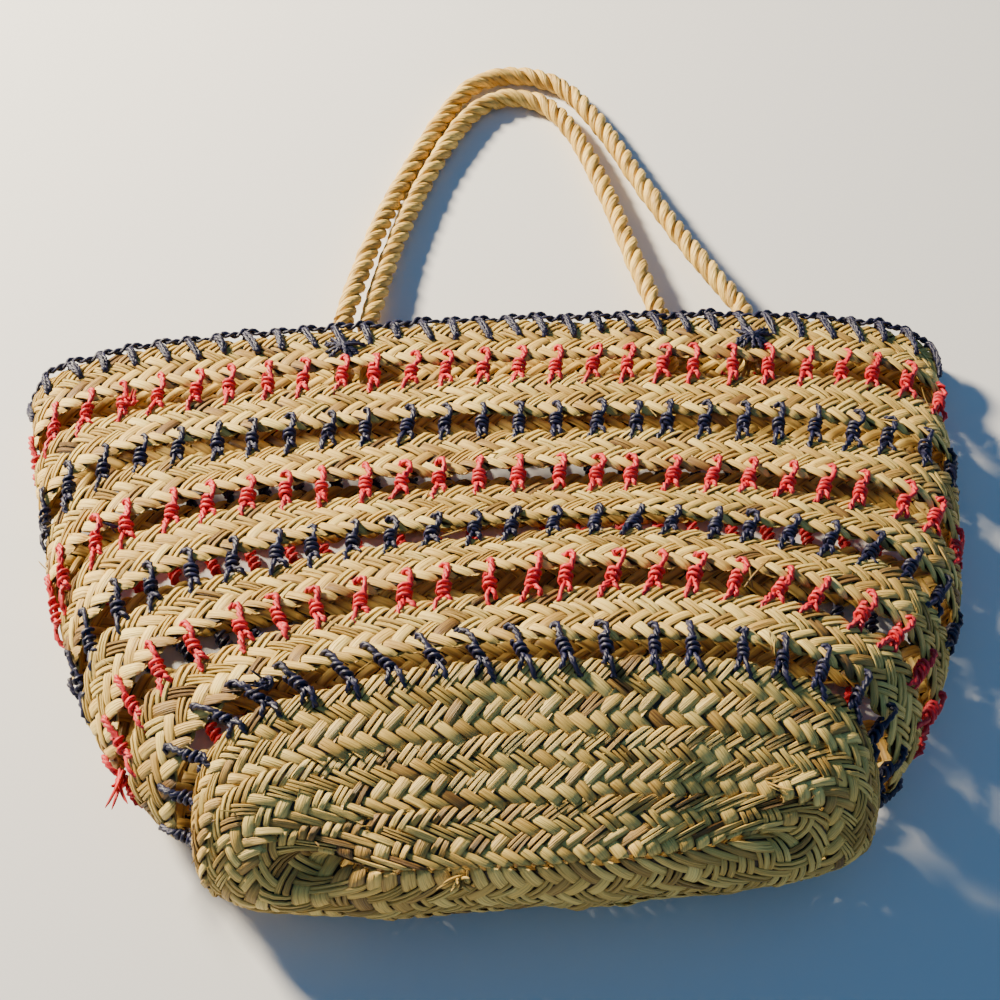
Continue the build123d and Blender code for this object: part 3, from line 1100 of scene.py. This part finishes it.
@dataclass
class RopeHandle:
    """A three-strand rope of twisted palm leaf, with a tail inside the mouth at each of its ends."""

    side: str
    route: tuple[tuple[float, float, float], ...]
    length: float
    tail_slope: float
    diameter: float = 0.012
    tail_length: float = 0.054
    lay: float = -0.0300
    ring_step: float = 0.0014

    def spline_points(self) -> Array:
        """The middle of the rope, read from a smooth spline with the route as its control points.

        Returns:
            Points of shape (count, 3), evenly spaced along it.
        """
        curve = bpy.data.curves.new(f"{self.side}_route", "CURVE")
        curve.dimensions = "3D"
        curve.resolution_u = 24
        spline = curve.splines.new("NURBS")
        spline.points.add(len(self.route) - 1)
        weighted = np.column_stack([np.array(self.route), np.ones(len(self.route))])
        spline.points.foreach_set("co", weighted.ravel())
        spline.order_u = 3
        spline.use_endpoint_u = True
        holder = bpy.data.objects.new(f"{self.side}_route", curve)
        bpy.context.scene.collection.objects.link(holder)
        mesh = bpy.data.meshes.new_from_object(holder)
        points = np.empty(len(mesh.vertices) * 3)
        mesh.vertices.foreach_get("co", points)
        bpy.data.objects.remove(holder)
        bpy.data.meshes.remove(mesh)
        return self.even(points.reshape(-1, 3))

    def even(self, points: Array) -> Array:
        """The same line with its points one ring step apart."""
        walked = np.concatenate([[0], np.cumsum(np.linalg.norm(np.diff(points, axis=0), axis=1))])
        wanted = np.linspace(0, walked[-1], round(walked[-1] / self.ring_step) + 1)
        return np.stack([np.interp(wanted, walked, points[:, axis]) for axis in range(3)], -1)

    def add_strands(self, store: MeshStore, points: Array, seed: int) -> None:
        """Adds three strands, each a bundle that turns once in every lay, with uneven thickness."""
        random = np.random.default_rng(seed)
        side, up, walked = line_frames(points[None], np.array([[0.0, 0.02, 1.0]]))
        around = np.linspace(-math.pi, math.pi, 14, endpoint=False)
        drift = random.uniform(0, 6, 3)
        uneven = 0.34 * np.sin(walked / 0.037 + drift[0]) + 0.22 * np.sin(walked / 0.0145 + drift[1])
        for strand in range(3):
            wobble = random.uniform(0, 6, 4)
            turned = (2 * math.pi * (walked / self.lay + strand / 3) + uneven)[..., None]
            turned = turned + 0.16 * np.sin(walked / 0.009 + wobble[2])[..., None]
            swell = 1 + 0.07 * np.sin(walked / 0.0118 + wobble[0])
            swell = swell + 0.05 * np.sin(walked / 0.0051 + wobble[1])
            out = np.cos(turned) * side + np.sin(turned) * up
            sideways = -np.sin(turned) * side + np.cos(turned) * up
            centre = points[None] + 0.0031 * out
            creases = 1 + 0.055 * np.sin(5 * around + walked[..., None] / 0.0065 + wobble[3])
            creases = creases + 0.03 * np.sin(8 * around - walked[..., None] / 0.011 + wobble[0])
            ring = np.cos(around)[:, None] * out[:, :, None] * 0.0029
            ring = ring + np.sin(around)[:, None] * sideways[:, :, None] * 0.0036
            rings = centre[:, :, None] + ring * (swell[..., None] * creases)[..., None]
            fibre = np.empty(rings.shape)
            fibre[..., 0] = walked[..., None]
            fibre[..., 1] = np.clip(1.3 * around / math.pi, -1, 1)
            fibre[..., 2] = random.random()
            store.add(rings, fibre, np.array([[random.uniform(0.36, 0.66), 0.0]]))

    def build(self, palette: Palette) -> None:
        """The loop in place of its CAD node, attached to its own handle body, and its two tails."""
        points = self.spline_points()
        store = MeshStore()
        self.add_strands(store, points, 11)
        rope = store.build(f"rope_{self.side}_handle", 70)
        seat_piece(rope, f"{self.side}_handle", palette.rope, (f"{self.side}_handle_rope",))
        for hand, hinge in (("left", self.route[0]), ("right", self.route[-1])):
            self.build_tail(palette, hand, hinge)

    def build_tail(self, palette: Palette, hand: str, hinge: tuple[float, float, float]) -> None:
        """A rope's tail inside the mouth, with its cut end frayed into strips."""
        slope = math.radians(self.tail_slope)
        back = np.array([0.0, -math.cos(slope), math.sin(slope)])
        steps = np.linspace(0.0, self.tail_length - 0.006, 34)
        points = np.array(hinge) + steps[:, None] * back
        store = MeshStore()
        self.add_strands(store, points, 23 + len(hand))
        self.add_fray(store, points[-1], back, 90 + len(hand))
        tail = store.build(f"rope_{self.side}_tail_{hand}", 70)
        seat_piece(tail, "bag", palette.rope, (f"{self.side}_rope_tail_{hand}",))

    def add_fray(self, store: MeshStore, start: Array, back: Array, seed: int) -> None:
        """Adds strips of leaf that leave the cut end and spread a little."""
        random = np.random.default_rng(seed)
        count = 9
        spread = random.normal(0, 0.0026, (count, 3)) * np.array([1.4, 0.3, 0.5])
        keys = np.stack([start + spread * 0.6 + back * reach + spread * grow for reach, grow in
                         ((-0.008, 0.0), (0.0, 0.3), (0.005, 0.7), (0.010, 1.1))], axis=1)
        guide = np.tile([0.2, 0.0, 1.0], (count, 1))
        add_cord(store, through_keys(keys, 7), guide, 0.0011, random.random(count))


# ---------------------------------------------------------------- loose ends


@dataclass(frozen=True)
class Tuft:
    """A place where ends of leaf or thread stand out: where it is, and how many and how long they are."""

    angle: float
    length: float
    count: int
    reach: float
    radius: float
    leaning: tuple[float, float, float] = (0.0, 0.0, 1.0)
    spread: float = 0.7


@dataclass
class LooseEnds:
    """Frayed ends of one material, gathered into one piece: tufts and single splinters."""

    skin: Skin
    name: str
    slot: str
    tufts: tuple[Tuft, ...]
    knots: tuple[tuple[float, float, float], ...] = ()
    splinters: int = 0
    seed: int = 500

    def add_tuft(self, store: MeshStore, tuft: Tuft, random: np.random.Generator) -> None:
        """Adds ends that leave one spot: start + reach (leaning + spread), bending back to the skin."""
        angle = np.full(tuft.count, tuft.angle)
        length = np.full(tuft.count, tuft.length)
        along, down, outward = self.skin.axes(angle, length)
        start = self.skin.lift(angle, length, np.full(tuft.count, 0.001))
        start = start + along * random.normal(0, 0.0015, (tuft.count, 1))
        start = start + down * random.normal(0, 0.0012, (tuft.count, 1))
        parts = np.array(tuft.leaning) + random.normal(0, tuft.spread, (tuft.count, 3)) * (1, 1, 0.4)
        heading = unit(parts[:, :1] * along + parts[:, 1:2] * down + np.abs(parts[:, 2:]) * outward)
        reach = tuft.reach * random.uniform(0.5, 1.1, (tuft.count, 1))
        curl = random.normal(0, 0.18, (tuft.count, 3))
        shares = (-0.15, 0.0, 0.35, 0.7, 1.0)
        keys = [start + heading * reach * share + curl * reach * share**2 for share in shares]
        keys = np.stack(keys, axis=1)
        guide = unit(along + 0.4 * down + 0.3 * outward)
        add_cord(store, through_keys(keys, 8), guide, tuft.radius, random.random(tuft.count), taper=0.75)

    def add_knot(
        self, store: MeshStore, place: tuple[float, float, float], random: np.random.Generator
    ) -> None:
        """Adds a small knot: two loops of thread, each a circle of the given size that wobbles."""
        angle, length, size = place
        along, down, outward = self.skin.axes(np.full(2, angle), np.full(2, length))
        centre = self.skin.lift(np.full(2, angle), np.full(2, length), np.full(2, 0.0024))
        turned = np.linspace(0, 1.9 * math.pi, 16)[None, :, None] + np.array([0.0, 2.0])[:, None, None]
        lines = centre[:, None] + size * np.cos(turned) * along[:, None]
        lines = lines + size * np.sin(turned) * down[:, None]
        lines = lines + 0.0009 * np.sin(2 * turned + 1) * outward[:, None]
        add_plied(store, lines, outward, 2, 0.0006, 0.0008, 0.006, random.random(2))

    def add_splinters(self, store: MeshStore, random: np.random.Generator) -> None:
        """Adds single splinters of leaf over the whole outside, lying almost along the skin."""
        angles = random.uniform(5, 175, self.splinters)
        lengths = random.uniform(0.0, 0.35, self.splinters)
        for angle, length in zip(angles, lengths):
            lean = (random.normal(0, 1), random.normal(0, 1), 0.35)
            reach = random.uniform(0.006, 0.013)
            self.add_tuft(store, Tuft(angle, length, 1, reach, 0.00035, lean, 0.2), random)

    def build(self, material: bpy.types.Material) -> None:
        """The piece, which rides on the bag and stands for no CAD node."""
        random = np.random.default_rng(self.seed)
        store = MeshStore()
        for tuft in self.tufts:
            self.add_tuft(store, tuft, random)
        for knot in self.knots:
            self.add_knot(store, knot, random)
        self.add_splinters(store, random)
        seat_piece(store.build(self.name, 70), "bag", material, ())


# ---------------------------------------------------------------- the studio


@dataclass(frozen=True)
class Studio:
    """A plain pale floor, a warm soft key from the far left, cool fill, and the camera."""

    eye: tuple[float, float, float] = (-0.0586, -0.55435, 0.72314)
    heading: float = 6.5
    elevation: float = 55.0
    roll: float = 2.4
    lens: float = 57.6

    def build(self) -> None:
        """Floor, lights, world and camera."""
        self.build_floor()
        self.build_light("key", (-1.50, 1.25, 1.12), (0.0, -0.05, 0.0), 0.36, 235.0, (1.0, 0.86, 0.64))
        self.build_light("fill", (0.9, -1.6, 1.3), (0.0, -0.1, 0.0), 1.6, 3.0, (0.45, 0.70, 1.0))
        self.build_world()
        self.build_camera()

    def build_floor(self) -> None:
        """A pale floor at z = 0."""
        mesh = bpy.data.meshes.new("floor")
        corners = [(-8, -8, 0), (8, -8, 0), (8, 8, 0), (-8, 8, 0)]
        mesh.from_pydata(corners, [], [(0, 1, 2, 3)])
        floor = bpy.data.objects.new("floor", mesh)
        bpy.context.scene.collection.objects.link(floor)
        material = bpy.data.materials.new("floor")
        material.use_nodes = True
        shader = material.node_tree.nodes["Principled BSDF"]
        shader.inputs["Base Color"].default_value = (0.78, 0.78, 0.77, 1)
        shader.inputs["Roughness"].default_value = 0.9
        mesh.materials.append(material)

    def build_light(
        self,
        name: str,
        place: tuple[float, float, float],
        target: tuple[float, float, float],
        size: float,
        power: float,
        colour: tuple[float, float, float],
    ) -> None:
        """A square area light that faces a point."""
        data = bpy.data.lights.new(name, "AREA")
        data.size = size
        data.energy = power
        data.color = colour
        light = bpy.data.objects.new(name, data)
        away = unit(np.array(place) - np.array(target))
        right = unit(np.cross([0.0, 0.0, 1.0], away))
        light.matrix_world = self.pose(right, np.cross(away, right), away, place)
        bpy.context.scene.collection.objects.link(light)

    def build_world(self) -> None:
        """An even cool sky."""
        world = bpy.data.worlds.new("studio")
        world.use_nodes = True
        background = world.node_tree.nodes["Background"]
        background.inputs["Color"].default_value = (0.20, 0.50, 1.0, 1)
        background.inputs["Strength"].default_value = 0.30
        bpy.context.scene.world = world

    def build_camera(self) -> None:
        """The camera, turned by its heading, its elevation and its roll."""
        turn = math.radians(self.heading)
        rise = math.radians(self.elevation)
        ahead = np.array([math.sin(turn) * math.cos(rise), math.cos(turn) * math.cos(rise), -math.sin(rise)])
        level = np.array([math.cos(turn), -math.sin(turn), 0.0])
        upward = np.cross(level, ahead)
        tilt = math.radians(self.roll)
        right = math.cos(tilt) * level + math.sin(tilt) * upward
        data = bpy.data.cameras.new("camera")
        data.lens = self.lens
        data.sensor_width = 36.0
        camera = bpy.data.objects.new("camera", data)
        camera.matrix_world = self.pose(right, np.cross(right, ahead), -ahead, self.eye)
        bpy.context.scene.collection.objects.link(camera)
        bpy.context.scene.camera = camera

    @staticmethod
    def pose(right: Array, up: Array, back: Array, place: tuple[float, float, float]) -> Matrix:
        """The matrix with these three axes and this place."""
        columns = np.eye(4)
        columns[:3, 0] = right
        columns[:3, 1] = up
        columns[:3, 2] = back
        columns[:3, 3] = place
        return Matrix(columns.tolist())


# ---------------------------------------------------------------- the bag


FRONT_ROUTE = (
    (-0.084, 0.068, 0.0172), (-0.074, 0.108, 0.0138), (-0.058, 0.158, 0.0096), (-0.038, 0.206, 0.0064),
    (-0.017, 0.248, 0.0064), (0.004, 0.281, 0.0064), (0.025, 0.291, 0.0064), (0.048, 0.289, 0.0064),
    (0.069, 0.276, 0.0064), (0.086, 0.243, 0.0064), (0.097, 0.214, 0.0064), (0.111, 0.170, 0.0088),
    (0.126, 0.127, 0.0122), (0.139, 0.095, 0.0146), (0.151, 0.068, 0.0161),
)
BACK_ROUTE = (
    (-0.070, 0.068, 0.0116), (-0.0605, 0.108, 0.0092), (-0.0465, 0.152, 0.0072), (-0.030, 0.194, 0.0064),
    (-0.0125, 0.229, 0.0064), (0.003, 0.2545, 0.0064), (0.020, 0.2675, 0.0064), (0.040, 0.2685, 0.0064),
    (0.057, 0.258, 0.0064), (0.070, 0.232, 0.0064), (0.079, 0.200, 0.0064), (0.087, 0.160, 0.0076),
    (0.093, 0.122, 0.0093), (0.098, 0.092, 0.0107), (0.103, 0.068, 0.0116),
)


@dataclass
class BeachBag:
    """The whole bag: rounds of braid, stitches, edging, lashings and handles."""

    skin: Skin = field(default_factory=Skin)
    inset: float = 0.0012

    def build_open_wall(self, palette: Palette) -> None:
        """Six open rounds with the rows of stitches under them."""
        pitch = self.skin.band_width + self.skin.band_gap
        for number in range(self.skin.open_rounds):
            upper = number * pitch
            lower = upper + self.skin.band_width
            name = f"plait_round_{number + 1}"
            BraidRound(self.skin, name, upper + self.inset, lower - self.inset, 100 + number).build(palette)
            colour = Thread.RED if number % 2 == 0 else Thread.NAVY
            lean = 0.0048 if number < 5 else -0.0048
            StitchRow(self.skin, number + 1, lower, upper + pitch, lean, colour).build(palette)

    def build_base(self, palette: Palette) -> None:
        """Three rounds of the closed base, edge to edge from the foot to the fold."""
        depth = self.skin.base_depth / self.skin.base_rounds
        for number in range(self.skin.base_rounds):
            upper = self.skin.wall_length + number * depth
            last = number == self.skin.base_rounds - 1
            lower = upper + depth - (0.0005 if last else 0)
            BraidRound(
                self.skin, f"base_round_{number + 1}", upper, lower, 200 + number, pitch=0.0088,
                inside=not last, wrap_lower=False,
            ).build(palette)

    def build_mouth(self, palette: Palette) -> None:
        """The edging and the four lashings."""
        edging = MouthEdging(self.skin)
        edging.build_chain(palette)
        edging.build_bars(palette)
        ends = (("front", FRONT_ROUTE, True), ("back", BACK_ROUTE, False))
        for seed, (side, route, front) in enumerate(ends):
            for hand, end in (("left", 0), ("right", -1)):
                name = f"lashing_{side}_{hand}"
                Lashing(self.skin, name, route[end][0], front, 300 + 2 * seed + end).build(palette)

    def build_loose_ends(self, palette: Palette) -> None:
        """Knotted and frayed ends of thread, a tuft of leaf on the fold, and splinters."""
        red = (
            Tuft(122.5, 0.040, 6, 0.008, 0.0006),
            Tuft(184.0, 0.2160, 5, 0.020, 0.0009, (-0.2, 1.2, 0.9), 0.15),
        )
        navy = (Tuft(118.0, 0.258, 9, 0.009, 0.0006), Tuft(128.0, 0.128, 4, 0.006, 0.0005))
        leaf = (
            Tuft(256.8, 0.3595, 13, 0.012, 0.0007, (0.0, 0.3, 0.8), 0.8),
            Tuft(71.0, 0.2185, 3, 0.014, 0.0005, (0.2, -0.6, 0.8), 0.4),
            Tuft(64.8, 0.260, 4, 0.013, 0.0005, (0.4, -0.7, 0.7), 0.5),
            Tuft(62.0, 0.324, 3, 0.015, 0.0005, (-0.5, 0.6, 0.6), 0.4),
        )
        LooseEnds(self.skin, "ends_red_thread", Thread.RED.value, red, ((122.5, 0.040, 0.0024),)).build(
            palette.threads[Thread.RED]
        )
        LooseEnds(self.skin, "ends_navy_thread", Thread.NAVY.value, navy, ((118.0, 0.258, 0.0028),)).build(
            palette.threads[Thread.NAVY]
        )
        LooseEnds(self.skin, "ends_leaf", "palm_braid", leaf, splinters=34).build(palette.leaf)

    def build(self, palette: Palette) -> None:
        """Every piece, the ropes first."""
        RopeHandle("front", FRONT_ROUTE, 0.5254, 6.0).build(palette)
        RopeHandle("back", BACK_ROUTE, 0.4539, 0.0).build(palette)
        self.build_open_wall(palette)
        self.build_base(palette)
        self.build_mouth(palette)
        self.build_loose_ends(palette)


def main() -> None:
    """Builds the studio and the bag."""
    Studio().build()
    BeachBag().build(Palette())


if __name__ == "__main__":
    main()
